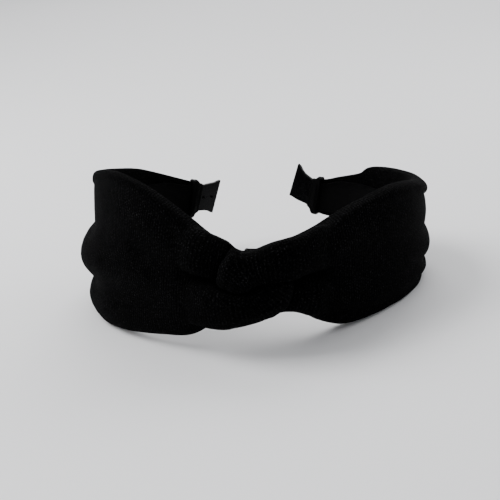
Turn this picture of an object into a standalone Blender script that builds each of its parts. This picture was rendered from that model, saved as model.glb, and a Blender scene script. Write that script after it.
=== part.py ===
"""Knotted headband: a one-piece plastic hoop with bare flared tips, a satin ribbon glued inside it, and two
padded knit sleeves, one from each end, whose loops are locked through each other at the front.

Run with: blender --background --python part.py
Units are metres, +Z is up as the headband stands, -Y is the front, where the knot is.

The hoop is laid out level, by the angle from its front: 0 at the knot, negative towards the left tip and
positive towards the right tip. A place on it is (angle, out, up): out from the middle of the hoop's wall, away
from the head, and up from the hoop's middle. The whole headband is then set down on the three places where it
rests.
"""

import math

import bmesh
import bpy
from mathutils import Matrix, Vector

MM = 0.001

# ---- driving dimensions --------------------------------------------------------------------------
HALF_WIDTH = 64.0 * MM  # hoop, middle of its wall, side to side
FRONT_DEPTH = 60.0 * MM  # from the widest place forwards to the knot
BACK_DEPTH = 54.0 * MM  # from the widest place backwards
TIP_ANGLE = 163.5  # where the hoop ends on each side
GAP = 0.3 * MM  # clearance between pieces that touch

WALL = 1.8 * MM  # thickness of the plastic hoop
WALL_ROUNDING = 0.4 * MM
# half the hoop's height, by angle from the front: a 15 mm band, a narrow neck, then the flared tip
HOOP_HALF_HEIGHT = (
    (0, 7.0), (60, 7.4), (110, 7.4), (140, 6.9), (150, 6.6), (155.5, 6.4), (158.5, 6.7), (161, 7.2),
    (163.5, 8.3),
)
TIP_CURL = 2.6 * MM  # how far the tips' ends curl away from the head
CURL_START = 154.0
TIP_STEP, BAND_STEP = 1.1, 3.0  # degrees between the wall's sections in the curled tips and elsewhere
# the hoop is sprung slightly out of its plane: how far its middle rises towards each end, mm, by angle
LEFT_RISE = ((0, 0.0), (118, 0.0), (135, -0.8), (152, -3.3), (159, -3.4), (163.5, -4.0))
RIGHT_RISE = (
    (0, 0.0), (126, 0.0), (143, -1.0), (150, -2.0), (153.5, -1.5), (157, 0.2), (160.5, 1.8), (163.5, 4.4),
)
LEAN_START = 138.0
TIP_LEAN = 15.0  # degrees by which the tips' ends lean to the right
PEG_RADIUS = 0.75 * MM  # moulded grip pegs inside each tip
PEG_TAPER = 0.55  # a peg's end against its root
PEG_HEIGHT = 1.1 * MM
PEG_ANGLES = (157.6, 161.6)

RIBBON_THICKNESS = 0.6 * MM
RIBBON_HALF_HEIGHT = 8.0 * MM
RIBBON_NARROWS_FROM = 138.0
RIBBON_END_ANGLE = 152.0
RIBBON_END_HALF_HEIGHT = 6.6 * MM

PAD_FACE = WALL / 2 + GAP + 0.2 * MM  # the pad's inner face, out from the middle of the hoop's wall
PAD_THICKNESS = 1.8 * MM
PAD_START_ANGLE = 19.0
PAD_END_ANGLE = 127.0
PAD_START_ROUNDING, PAD_END_ROUNDING = 9.0, 12.0  # degrees over which its ends are rounded
PAD_MARGIN = 6.5 * MM  # from the pad's edge to the sleeve's edge
PAD_BEVEL = 1.4 * MM

SLEEVE_END_ANGLE = 153.0
FLAP_SIDE = 0.9 * MM  # the sleeve's inner face, level with the hoop's
# top and lower edge of each sleeve above and below the hoop's middle, mm, by angle from the front
LEFT_EDGES = (
    (0.3, 8.0, -8.0), (10, 8.0, -8.0), (13, 15.5, -20.0), (20, 20.5, -24.5), (30, 27.2, -27.5),
    (40, 31.3, -30.0), (52, 32.8, -32.3), (62, 31.2, -33.8), (72, 28.0, -33.6), (90, 22.2, -30.5),
    (110, 18.2, -23.5), (126, 15.4, -17.0), (135, 12.8, -14.0), (143, 10.6, -11.4), (151, 8.4, -8.4), (153, 8.0, -8.0),
)
RIGHT_EDGES = (
    (0.3, 8.0, -8.0), (10, 8.0, -8.0), (13, 14.5, -14.0), (21, 20.5, -19.5), (28, 24.4, -24.0),
    (36, 26.8, -23.0), (51, 28.6, -21.5), (62, 27.2, -20.8), (72, 25.2, -21.0), (90, 21.2, -20.0),
    (104, 19.8, -18.5), (116, 18.3, -16.5), (125, 16.0, -14.6), (131, 12.8, -13.2), (138, 10.6, -11.6), (145, 9.2, -10.0),
    (151, 8.4, -8.4), (153, 8.0, -8.0),
)
# outer face of a sleeve, out from the middle of the hoop's wall, mm, by angle
LEFT_OUT = (
    (0.3, 2.3), (11, 2.3), (13, 9.0), (19, 11.5), (28, 9.5), (40, 7.6), (60, 7.0), (90, 5.0), (112, 5.6),
    (127, 5.2), (136, 3.6), (151, 2.0), (153, 1.9),
)
RIGHT_OUT = (
    (0.3, 2.3), (11, 2.3), (13, 9.0), (19, 11.5), (28, 9.5), (40, 8.4), (60, 8.2), (90, 8.4), (112, 7.0),
    (127, 5.2), (136, 3.6), (151, 2.0), (153, 1.9),
)
# soft pleats that run along each sleeve: centre and half height above the hoop's middle and how far out, mm
LEFT_PLEAT = (-12.0, 12.0, 5.6)
RIGHT_PLEAT = (-8.0, 8.5, 2.6)
PLEAT_START, PLEAT_FULL, PLEAT_FADES, PLEAT_END = 35.0, 70.0, 85.0, 118.0
# a sleeve's section is a rounded box: how square it is at its edges and on its faces, 0 square and 1 round
EDGE_ROUNDNESS, FACE_ROUNDNESS = 0.8, 0.45
SLEEVE_RING_POINTS = 26

KNOT_HEIGHT = 2.0 * MM  # the knot's middle above the hoop's
STRAND_RADIUS = 4.6 * MM
STRAND_STEP_OUT = 11.2 * MM  # between the front and back strands of one loop
STRAND_STEP_UP = 20.0 * MM
BINDING_HALF_ANGLE = 3.6  # the strap that ties the sleeves' ends and the ribbon to the hoop behind the knot
BINDING_THICKNESS = 0.6 * MM
STRIP_OUT = 2.3 * MM  # outer face of the sleeves' ends there
STRAND_REST_OUT = STRIP_OUT + GAP + BINDING_THICKNESS  # what the back strands lie on
LOOP_REACH = 5.7 * MM  # how far each loop's turn passes the middle of the knot
TURN_STEPS = 12
# the strands widen as they leave the knot and then sink into their own sleeve: angle, out and up from the
# hoop's wall and the knot's middle, mm, and width against the knot's
FRONT_STRAND_OUT = ((9, 17.0, 10.2, 1.06), (15, 11.0, 10.5, 1.6), (27, 5.2, 10.5, 1.15))
BACK_STRAND_OUT = ((9, 8.6, 9.8, 1.0), (15, 8.6, 9.5, 1.30), (27, 4.6, 9.5, 1.0))

SLOT_DEPTH = 6.0 * MM  # how far inwards the hoop's slot is cut, clear of the sleeve
SLOT_STEP = 4.0

WRAP_START_ANGLE = 151.0
WRAP_END_ANGLE = 155.8
WRAP_STEP = 0.96
WRAP_THICKNESS = 0.5 * MM
# how far the wrap's inner skin stands off the hoop where it covers the sleeve's end: up and down, out and in
COVER_UP, COVER_OUT, COVER_IN = 1.85 * MM, 1.15 * MM, 0.9 * MM
COVER_CORNER = 0.6 * MM

# how the headband stands on its three lowest places: turned about the front-back and the left-right axis
STANCE_ROLL = 5.87
STANCE_PITCH = 0.57
REST_SINK = 0.5 * MM  # how much the soft lower edges flatten where they rest
GROUND_SIZE = 200.0 * MM

# ---- placing things on the hoop ------------------------------------------------------------------


def smooth(value, start, end):
    """0 before start, 1 after end, and an even curve between them."""
    t = min(1.0, max(0.0, (value - start) / (end - start)))
    return t * t * (3.0 - 2.0 * t)


def along(stations, angle, column=1):
    """The value at an angle on a smooth curve through a table's stations."""
    angle = min(max(angle, stations[0][0]), stations[-1][0])
    k = max(i for i in range(len(stations) - 1) if stations[i][0] <= angle)
    (x0, y0), (x1, y1) = ((stations[i][0], stations[i][column]) for i in (k, k + 1))

    def slope(i):
        before, after = max(i - 1, 0), min(i + 1, len(stations) - 1)
        rise = stations[after][column] - stations[before][column]
        left = stations[i][column] - stations[before][column]
        right = stations[after][column] - stations[i][column]
        turns_back = left * right <= 0.0  # flat at a peak, so the curve never overshoots
        return 0.0 if turns_back else rise / (stations[after][0] - stations[before][0])

    t = (angle - x0) / (x1 - x0)
    span = x1 - x0
    held = y0 * (1 + 2 * t) * (1 - t) ** 2 + y1 * t * t * (3 - 2 * t)
    return held + span * (slope(k) * t * (1 - t) ** 2 - slope(k + 1) * t * t * (1 - t))


def hoop_half_height(angle):
    return along(HOOP_HALF_HEIGHT, abs(angle)) * MM


def place(angle, out, up):
    """The point at an angle from the front, this far out from the hoop's wall and up from its middle."""
    a = math.radians(angle)
    depth = FRONT_DEPTH if abs(angle) < 90.0 else BACK_DEPTH
    wall = Vector((HALF_WIDTH * math.sin(a), -depth * math.cos(a), 0.0))
    outward = Vector((math.sin(a) / HALF_WIDTH, -math.cos(a) / depth, 0.0)).normalized()
    rise = along(RIGHT_RISE if angle > 0 else LEFT_RISE, abs(angle)) * MM
    lean = math.radians(TIP_LEAN) * smooth(abs(angle), LEAN_START, TIP_ANGLE)
    rightward = Vector((outward.y, -outward.x, 0.0))  # along the band, towards +X at the back
    curl = TIP_CURL * smooth(abs(angle), CURL_START, 2 * TIP_ANGLE - CURL_START) * 2.0
    upward = Vector((0.0, 0.0, math.cos(lean))) + rightward * math.sin(lean)
    return wall + outward * (out + curl) + upward * up + Vector((0.0, 0.0, rise))


def angles_between(start, end, step):
    count = max(1, round(abs(end - start) / step))
    return [start + (end - start) * i / count for i in range(count + 1)]


# ---- making objects ------------------------------------------------------------------------------


def material(name, colour, roughness, metallic=0.0):
    made = bpy.data.materials.new(name)
    made.use_nodes = True
    shader = made.node_tree.nodes["Principled BSDF"]
    shader.inputs["Base Color"].default_value = (*colour, 1.0)
    shader.inputs["Roughness"].default_value = roughness
    shader.inputs["Metallic"].default_value = metallic
    return made


def object_of(name, mesh_maker, finish, collection):
    """An object from a bmesh that mesh_maker fills."""
    mesh = bpy.data.meshes.new(name)
    bm = bmesh.new()
    mesh_maker(bm)
    bmesh.ops.recalc_face_normals(bm, faces=bm.faces)
    bm.to_mesh(mesh)
    bm.free()
    mesh.shade_smooth()
    mesh.set_sharp_from_angle(angle=math.radians(40.0))
    if finish is not None:
        mesh.materials.append(finish)
    made = bpy.data.objects.new(name, mesh)
    collection.objects.link(made)
    return made


def fill_rings(bm, rings, closed=True, caps=True):
    """A skin over a row of rings that have the same number of points."""
    rows = [[bm.verts.new(p) for p in ring] for ring in rings]
    count = len(rows[0])
    for row, following in zip(rows, rows[1:]):
        for i in range(count if closed else count - 1):
            j = (i + 1) % count
            bm.faces.new((row[i], row[j], following[j], following[i]))
    if caps and closed:
        bm.faces.new(rows[0])
        bm.faces.new(list(reversed(rows[-1])))


def thicken(made, thickness, offset):
    shell = made.modifiers.new("thickness", "SOLIDIFY")
    shell.thickness = thickness
    shell.offset = offset
    shell.use_even_offset = True
    return shell


def cut_or_join(made, other, operation):
    """A Boolean with a tool object, applied at once so that the tool can be removed."""
    boolean = made.modifiers.new(operation.lower(), "BOOLEAN")
    boolean.operation = operation
    boolean.solver = "EXACT"
    boolean.object = other
    bpy.context.view_layer.update()
    evaluated = made.evaluated_get(bpy.context.evaluated_depsgraph_get())
    solid = bpy.data.meshes.new_from_object(evaluated)
    finish = made.data.materials[0] if made.data.materials else None
    solid.materials.clear()
    solid.materials.append(finish)
    solid.polygons.foreach_set("material_index", [0] * len(solid.polygons))
    made.modifiers.clear()
    made.data = solid
    bpy.data.objects.remove(other)


# ---- the hoop and what is glued inside it --------------------------------------------------------


def make_hoop(finish, parts, tools):
    rows = 4
    neck = CURL_START - BAND_STEP

    def wall(bm):
        grid = []
        tip = angles_between(TIP_ANGLE, neck, TIP_STEP)
        middle = angles_between(neck, -neck, BAND_STEP)
        for angle in tip[:-1] + middle + [-angle for angle in tip[-2::-1]]:
            half = hoop_half_height(angle)
            grid.append([place(angle, 0.0, half * (2 * i / rows - 1)) for i in range(rows + 1)])
        fill_rings(bm, grid, closed=False)

    hoop = object_of("hoop_core", wall, finish, parts)
    thicken(hoop, WALL, 0.0)
    rounding = hoop.modifiers.new("rounded_edges", "BEVEL")
    rounding.width = WALL_ROUNDING
    rounding.segments = 2
    rounding.limit_method = "ANGLE"
    rounding.angle_limit = math.radians(50.0)
    for side in (-1, 1):
        for angle in PEG_ANGLES:
            root = place(side * angle, 0.0, 0.0)
            inward = (place(side * angle, -1.0, 0.0) - root).normalized()

            def peg(bm):
                reach = WALL / 2 + PEG_HEIGHT
                turn = inward.to_track_quat("Z", "Y").to_matrix().to_4x4()
                bmesh.ops.create_cone(
                    bm, cap_ends=True, segments=12, depth=reach,
                    radius1=PEG_RADIUS, radius2=PEG_RADIUS * PEG_TAPER,
                    matrix=Matrix.Translation(root + inward * reach / 2) @ turn,
                )

            cut_or_join(hoop, object_of("peg", peg, None, tools), "UNION")
    return hoop


def ribbon_half_height(angle):
    narrowing = smooth(abs(angle), RIBBON_NARROWS_FROM, RIBBON_END_ANGLE)
    return RIBBON_HALF_HEIGHT + (RIBBON_END_HALF_HEIGHT - RIBBON_HALF_HEIGHT) * narrowing


def make_ribbon(finish, parts):
    inner = -(WALL / 2 + GAP)

    def strip(bm):
        grid = []
        for angle in angles_between(-RIBBON_END_ANGLE, RIBBON_END_ANGLE, BAND_STEP):
            half = ribbon_half_height(angle)
            grid.append([
                place(angle, inner, -half), place(angle, inner, half),
                place(angle, inner - RIBBON_THICKNESS, half), place(angle, inner - RIBBON_THICKNESS, -half),
            ])
        fill_rings(bm, grid)

    return object_of("lining_ribbon", strip, finish, parts)


# ---- the sleeves and their pads ------------------------------------------------------------------


def pad_edges(edges, angle):
    """Top and lower edge of the pad inside a sleeve, which runs to a rounded end at both ends."""
    start = min(1.0, (angle - PAD_START_ANGLE + 1.0) / PAD_START_ROUNDING)
    end = min(1.0, (PAD_END_ANGLE - angle + 1.0) / PAD_END_ROUNDING)
    rounding = math.sqrt(start * end)
    top = along(edges, angle, 1) * MM - PAD_MARGIN
    low = along(edges, angle, 2) * MM + PAD_MARGIN
    middle = (top + low) / 2
    return middle + (top - middle) * rounding, middle + (low - middle) * rounding


def pad_rings(side, edges, grow):
    """Sections of the pad, grown all round for the hollow that holds it."""
    extra = math.degrees(grow / HALF_WIDTH)
    rings = []
    for angle in angles_between(PAD_START_ANGLE, PAD_END_ANGLE, 2 * BAND_STEP):
        top, low = pad_edges(edges, angle)
        if angle == PAD_START_ANGLE:
            angle -= extra
        elif angle == PAD_END_ANGLE:
            angle += extra
        near, far = PAD_FACE - grow, PAD_FACE + PAD_THICKNESS + grow
        top, low = top + grow, low - grow
        outline = ((near, low), (near, top), (far, top - PAD_BEVEL), (far, low + PAD_BEVEL))
        rings.append([place(side * angle, out, up) for out, up in outline])
    return rings


def make_pad(name, side, edges, finish, parts):
    return object_of(name, lambda bm: fill_rings(bm, pad_rings(side, edges, 0.0)), finish, parts)


def sleeve_ring(side, edges, outer, pleat, angle):
    """One closed section of a sleeve: flat inside, rounded at its edges, with a soft pleat outside."""
    top, low = along(edges, angle, 1) * MM, along(edges, angle, 2) * MM
    out = along(outer, angle) * MM
    middle, half = (top + low) / 2, (top - low) / 2
    centre, deep = (out - FLAP_SIDE) / 2, (out + FLAP_SIDE) / 2
    lobe_up, lobe_half, lobe_out = (v * MM for v in pleat)
    fade = smooth(angle, PLEAT_START, PLEAT_FULL) * (1.0 - smooth(angle, PLEAT_FADES, PLEAT_END))
    ring = []
    for i in range(SLEEVE_RING_POINTS):
        turn = 2.0 * math.pi * i / SLEEVE_RING_POINTS
        c, s = math.cos(turn), math.sin(turn)
        up = middle + half * math.copysign(abs(s) ** EDGE_ROUNDNESS, s)
        reach = centre + deep * math.copysign(abs(c) ** FACE_ROUNDNESS, c)
        if c > 0.0:
            away = min(1.0, abs(up - lobe_up) / lobe_half)
            reach += lobe_out * fade * (1.0 - away * away) ** 2
        ring.append(place(side * angle, reach, up))
    return ring


def strand_path(side):
    """Points and widths along a sleeve's loop: front strand, turn round the other loop, back strand."""
    back = -FRONT_DEPTH - STRAND_REST_OUT - GAP - STRAND_RADIUS
    middle = Vector((0.0, back - STRAND_STEP_OUT / 2, KNOT_HEIGHT))
    # the right sleeve's front strand is the upper one, the left sleeve's the lower one
    to_front = Vector((0.0, -STRAND_STEP_OUT / 2, side * STRAND_STEP_UP / 2))
    bend = to_front.length
    across = Vector((side, 0.0, 0.0))
    turn_centre = middle + across * (bend - LOOP_REACH)
    turn = []
    for i in range(TURN_STEPS + 1):
        a = math.pi * i / TURN_STEPS
        turn.append((turn_centre + to_front * math.cos(a) - across * bend * math.sin(a), 1.0))

    def away(stations, upper):
        return [(place(side * angle, out * MM, KNOT_HEIGHT + upper * up * MM), width)
                for angle, out, up, width in stations]

    return away(FRONT_STRAND_OUT, side)[::-1] + turn + away(BACK_STRAND_OUT, -side)


def make_strand(side, tools):
    """The loop's strand as a smooth tube with closed ends."""
    path = strand_path(side)
    curve = bpy.data.curves.new("strand", "CURVE")
    curve.dimensions = "3D"
    curve.bevel_depth = STRAND_RADIUS
    curve.bevel_resolution = 3
    curve.use_fill_caps = True
    spline = curve.splines.new("POLY")
    spline.points.add(len(path) - 1)
    for point, (where, width) in zip(spline.points, path):
        point.co = (*where, 1.0)
        point.radius = width
    tube = bpy.data.objects.new("strand", curve)
    tools.objects.link(tube)
    bpy.context.view_layer.update()
    mesh = bpy.data.meshes.new_from_object(tube.evaluated_get(bpy.context.evaluated_depsgraph_get()))
    bm = bmesh.new()
    bm.from_mesh(mesh)
    bmesh.ops.remove_doubles(bm, verts=bm.verts, dist=0.01 * MM)
    bm.to_mesh(mesh)
    bm.free()
    strand = bpy.data.objects.new("strand_solid", mesh)
    tools.objects.link(strand)
    bpy.data.objects.remove(tube)
    return strand


def make_sleeve(name, side, edges, outer, pleat, finish, parts, tools):
    """A padded knit sleeve: the wing joined to its loop, with the hoop's slot and the pad's hollow cut out."""
    strip, shoulder = angles_between(0.3, 10.0, 4.8), angles_between(12.6, 52.0, 3.3)
    wing = angles_between(58.0, SLEEVE_END_ANGLE, 5.3)
    rings = [sleeve_ring(side, edges, outer, pleat, angle) for angle in strip + shoulder + wing]
    sleeve = object_of(name, lambda bm: fill_rings(bm, rings), finish, parts)
    cut_or_join(sleeve, make_strand(side, tools), "UNION")

    def slot(bm):
        sections = []
        for angle in angles_between(-2.0, SLEEVE_END_ANGLE + 2.0, SLOT_STEP):
            half = hoop_half_height(angle) + GAP
            inner, outer = -SLOT_DEPTH, WALL / 2 + GAP
            sections.append([
                place(side * angle, inner, -half), place(side * angle, inner, half),
                place(side * angle, outer, half), place(side * angle, outer, -half),
            ])
        fill_rings(bm, sections)

    cut_or_join(sleeve, object_of("slot", slot, None, tools), "DIFFERENCE")
    hollow = object_of("hollow", lambda bm: fill_rings(bm, pad_rings(side, edges, GAP)), None, tools)
    cut_or_join(sleeve, hollow, "DIFFERENCE")
    return sleeve


# ---- what closes the ends and holds the knot -----------------------------------------------------


def make_wrap(name, side, finish, parts):
    """A turn of tape round the sleeve's and ribbon's ends, drawn down on to the hoop's neck."""

    def band(bm):
        rings = []
        for angle in angles_between(WRAP_START_ANGLE, WRAP_END_ANGLE, WRAP_STEP):
            covered = 1.0 - smooth(angle, SLEEVE_END_ANGLE + 0.2, SLEEVE_END_ANGLE + 2.2)
            half = hoop_half_height(angle) + GAP + COVER_UP * covered
            outer = WALL / 2 + GAP + COVER_OUT * covered
            inner = -(WALL / 2 + GAP) - COVER_IN * covered
            upper = (
                (outer, half - COVER_CORNER), (outer - COVER_CORNER, half),
                (inner + COVER_CORNER, half), (inner, half - COVER_CORNER),
            )
            outline = upper + tuple((out, -up) for out, up in reversed(upper))
            rings.append([place(side * angle, out, up) for out, up in outline])
        fill_rings(bm, rings, caps=False)

    wrap = object_of(name, band, finish, parts)
    thicken(wrap, WRAP_THICKNESS, 1.0)
    return wrap


def make_binding(finish, parts):
    """A flat strap round the middle of the hoop, its ribbon and the ends of both sleeves, behind the knot."""
    inner, outer = -(WALL / 2 + 2 * GAP + RIBBON_THICKNESS), STRIP_OUT + GAP
    half = RIBBON_HALF_HEIGHT + GAP

    def strap(bm):
        rings = []
        for angle in (-BINDING_HALF_ANGLE, BINDING_HALF_ANGLE):
            outline = ((outer, -half), (outer, half), (inner, half), (inner, -half))
            rings.append([place(angle, out, up) for out, up in outline])
        fill_rings(bm, rings, caps=False)

    binding = object_of("knot_binding", strap, finish, parts)
    thicken(binding, BINDING_THICKNESS, 1.0)
    return binding


# ---- the whole headband --------------------------------------------------------------------------


def extent(parts):
    """The corners of the box round every part, with its modifiers."""
    bpy.context.view_layer.update()
    graph = bpy.context.evaluated_depsgraph_get()
    points = [made.matrix_world @ Vector(corner) for made in (o.evaluated_get(graph) for o in parts.objects)
              for corner in made.bound_box]
    return [Vector([pick(p[k] for p in points) for k in range(3)]) for pick in (min, max)]


def set_down(parts, tools):
    """Turns the level headband to the way it stands, centres it, and flattens the soft edges underneath."""
    roll = Matrix.Rotation(math.radians(STANCE_ROLL), 4, "Y")
    turn = roll @ Matrix.Rotation(math.radians(STANCE_PITCH), 4, "X")
    for made in parts.objects:
        made.data.transform(turn)
    low, high = extent(parts)
    shift = Matrix.Translation((-(low.x + high.x) / 2, -(low.y + high.y) / 2, -low.z - REST_SINK))
    for made in parts.objects:
        made.data.transform(shift)

    def ground(bm):
        bmesh.ops.create_cube(bm, size=2 * GROUND_SIZE, matrix=Matrix.Translation((0.0, 0.0, -GROUND_SIZE)))

    for name in ("left_sleeve", "right_sleeve"):
        cut_or_join(parts.objects[name], object_of("ground", ground, None, tools), "DIFFERENCE")


def main():
    for old in list(bpy.data.objects):
        bpy.data.objects.remove(old)
    parts = bpy.data.collections.new("knotted_headband")
    tools = bpy.data.collections.new("cutters")
    for collection in (parts, tools):
        bpy.context.scene.collection.children.link(collection)

    plastic = material("black_plastic", (0.012, 0.012, 0.013), 0.28)
    satin = material("black_satin", (0.010, 0.010, 0.012), 0.45)
    knit = material("black_knit", (0.008, 0.008, 0.009), 0.85)
    foam = material("grey_foam", (0.35, 0.35, 0.36), 0.95)

    make_hoop(plastic, parts, tools)
    make_ribbon(satin, parts)
    make_pad("left_pad", -1, LEFT_EDGES, foam, parts)
    make_pad("right_pad", 1, RIGHT_EDGES, foam, parts)
    make_sleeve("left_sleeve", -1, LEFT_EDGES, LEFT_OUT, LEFT_PLEAT, knit, parts, tools)
    make_sleeve("right_sleeve", 1, RIGHT_EDGES, RIGHT_OUT, RIGHT_PLEAT, knit, parts, tools)
    make_wrap("left_end_wrap", -1, satin, parts)
    make_wrap("right_end_wrap", 1, satin, parts)
    make_binding(knit, parts)
    set_down(parts, tools)


main()
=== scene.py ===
"""The looks of the knotted headband: padded knit sleeves, satin lining, end wraps and glossy tips.

The sleeves are laid out on the level hoop, as in the CAD part. A place is (angle, out, up) in degrees
and millimetres: the angle from the front, negative towards the left tip; out from the middle of the
hoop's wall; and up from the hoop's middle. to_row() then puts it where the headband stands. Each sleeve
is a wing round the hoop and a strand that loops through the other sleeve's. A strand swells until it
meets the other one.
"""

import math

import bmesh
import bpy
import numpy as np
from mathutils import Matrix, Vector, noise


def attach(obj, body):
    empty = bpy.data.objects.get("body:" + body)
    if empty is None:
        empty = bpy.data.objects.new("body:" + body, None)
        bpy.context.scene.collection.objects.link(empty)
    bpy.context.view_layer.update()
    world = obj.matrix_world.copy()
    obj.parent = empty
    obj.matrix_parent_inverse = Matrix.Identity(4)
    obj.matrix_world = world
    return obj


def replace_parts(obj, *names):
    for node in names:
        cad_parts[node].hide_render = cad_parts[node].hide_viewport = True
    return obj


MM = 0.001
MM_PER_UV = 10.0  # the weave map on each piece is in centimetres

# ---- the level hoop and how it stands, as in the CAD part -------------------------------------------------
HALF_WIDTH, FRONT_DEPTH, BACK_DEPTH = 64.0, 60.0, 54.0
TIP_ANGLE = 163.5
GAP = 0.3
WALL = 1.8
HOOP_HALF_HEIGHT = (
    (0, 7.0), (60, 7.4), (110, 7.4), (140, 6.9), (150, 6.6), (155.5, 6.4), (158.5, 6.7), (161, 7.2),
    (163.5, 8.3),
)
TIP_CURL, CURL_START = 2.6, 154.0
LEFT_RISE = ((0, 0.0), (118, 0.0), (135, -0.8), (152, -3.3), (159, -3.4), (163.5, -4.0))
RIGHT_RISE = (
    (0, 0.0), (126, 0.0), (143, -1.0), (150, -2.0), (153.5, -1.5), (157, 0.2), (160.5, 1.8), (163.5, 4.4),
)
TIP_LEAN, LEAN_START = 15.0, 138.0
STANCE_ROLL, STANCE_PITCH = 5.87, 0.57
HOOP_CENTRE = Vector((0.00085, 0.01425, 0.02724))

# ---- sleeves ----------------------------------------------------------------------------------------------
SLEEVE_END_ANGLE = 153.0
FLAP = -0.9  # the sleeves' inner face, level with the hoop's
# top and lower edge, mm from the hoop's middle, by angle
LEFT_EDGES = (
    (0.3, 8.0, -8.0), (5.6, 8.0, -8.0), (9, 11.0, -12.5), (13, 14.4, -18.8), (20, 20.4, -24.2),
    (30, 27.0, -26.8), (40, 31.2, -29.4), (52, 32.8, -31.9), (62, 31.3, -33.6), (72, 28.6, -33.8),
    (90, 23.6, -31.8), (110, 19.2, -24.2), (126, 15.5, -17.0), (135, 12.8, -14.0), (143, 10.6, -11.4),
    (151, 8.4, -8.4), (153, 8.0, -8.0),
)
RIGHT_EDGES = (
    (0.3, 8.0, -8.0), (5.6, 8.0, -8.0), (7.5, 11.8, -9.0), (9, 12.6, -10.4), (13, 14.8, -13.4),
    (21, 19.2, -18.8), (28, 22.8, -21.6), (36, 25.6, -21.7), (51, 28.4, -21.2), (62, 27.2, -21.2),
    (72, 24.8, -21.6), (90, 20.6, -20.8), (104, 19.1, -19.0), (116, 17.8, -16.5), (125, 16.4, -14.6),
    (128.5, 15.1, -13.8), (131.5, 12.6, -13.0), (138, 10.6, -11.6), (145, 9.2, -10.0), (151, 8.4, -8.4),
    (153, 8.0, -8.0),
)
# outer face at the bottom of the creases, mm out, by angle
LEFT_OUT = (
    (0.3, 2.3), (4.2, 2.3), (5.4, 3.2), (9, 3.4), (13, 7.0), (19, 9.5), (28, 8.6), (40, 6.8), (60, 5.2),
    (90, 4.1), (112, 4.6), (127, 4.6), (136, 3.2), (151, 2.0), (153, 1.9),
)
RIGHT_OUT = (
    (0.3, 2.3), (4.2, 2.3), (5.4, 3.2), (9, 3.4), (13, 7.0), (19, 9.5), (28, 8.6), (40, 7.6), (60, 7.3),
    (90, 7.6), (112, 6.4), (127, 4.8), (136, 3.2), (151, 2.0), (153, 1.9),
)
# Folds that run along a wing, from its lower edge up. Each has the height of the crease above it, by
# angle (None for the wing's top edge), how far it swells at the side and by the knot, and how sharp its
# creases are (1 round, 0.5 like a tight tuck).
LEFT_FOLDS = (
    (((12, -9.0), (40, -14.5), (52, -15.0), (62, -16.0), (72, -18.8), (84, -22.5), (110, -19.0),
      (150, -7.0)), 4.1, 2.4, 0.55),
    (((12, 1.0), (40, 6.5), (60, 5.0), (84, 2.0), (110, 1.2), (150, 0.0)), 6.5, 2.4, 1.2),
    (((12, 10.5), (30, 22.4), (45, 27.6), (60, 26.6), (84, 19.6), (110, 14.2), (150, 6.0)),
     0.0, 2.0, 0.8),
    (None, 0.9, 1.3, 0.6),
)
RIGHT_FOLDS = (
    (((12, -9.0), (30, -16.8), (48, -17.2), (65, -17.4), (84, -17.6), (110, -14.0), (150, -7.0)),
     2.0, 2.0, 0.6),
    (((12, -3.5), (30, -4.0), (50, -4.4), (60, -6.0), (70, -8.2), (84, -13.0), (110, -9.0),
      (150, -4.0)), 2.8, 2.2, 0.55),
    (((12, 3.0), (40, 5.5), (60, 4.0), (84, 1.8), (110, 2.0), (150, 1.0)), 3.4, 2.0, 0.85),
    (((12, 9.8), (28, 20.2), (36, 22.2), (45, 22.9), (62, 21.8), (84, 16.0), (110, 13.8),
      (150, 6.0)), 1.0, 2.0, 0.8),
    (None, 2.0, 1.3, 0.6),
)
FOLD_FADE = (118.0, 146.0)  # the folds die away between these angles
FOLD_TO_SIDE = (22.0, 74.0)  # between these angles a fold goes from its swelling by the knot to its own
WING_OPENS = (10.0, 14.0)  # the flat strip behind the knot opens into the wing between these angles
DRAPE_CALMS = (120.0, 150.0)  # the fabric lies calmer towards the end wrap
SWELL_FRONT, SWELL_BACK = 5.0, 2.6  # how far a wing swells where the front and the back strand run in
SWELL_ANGLE, SWELL_SPREAD = 15.0, 13.0  # where that swelling is greatest, and how far along it reaches
SWELL_HEIGHT, SWELL_WIDENING, SWELL_WIDENS_FROM = 7.0, 0.22, 14.0
GATHER_TUCKS = 5  # small tucks that spread from the knot over each wing
GATHER_DEPTH, GATHER_REACH = 0.9, 17.0
WING_RINGS, RING_POINTS = 210, 136

# ---- the knot ---------------------------------------------------------------------------------------------
KNOT_HEIGHT = 2.0
STRAND_RADIUS = 4.6
STRAND_STEP_OUT, STRAND_STEP_UP = 11.2, 20.0
STRAND_REST_OUT = 3.2
LOOP_REACH = 5.7
# the strands' way back into their own wing: angle, mm out, mm up from the knot's middle
FRONT_STRAND_AWAY = ((9, 17.0, 10.2), (15, 11.0, 10.5), (27, 5.2, 11.5))
BACK_STRAND_AWAY = ((9, 8.6, 6.6), (15, 8.6, 8.0), (27, 4.6, 9.5))
BACK_UP_SHARE = 0.6  # the back strands lie nearer to the knot's middle height than the front ones
KNOT_OUT = 24.2  # how far the knot stands out
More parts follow.
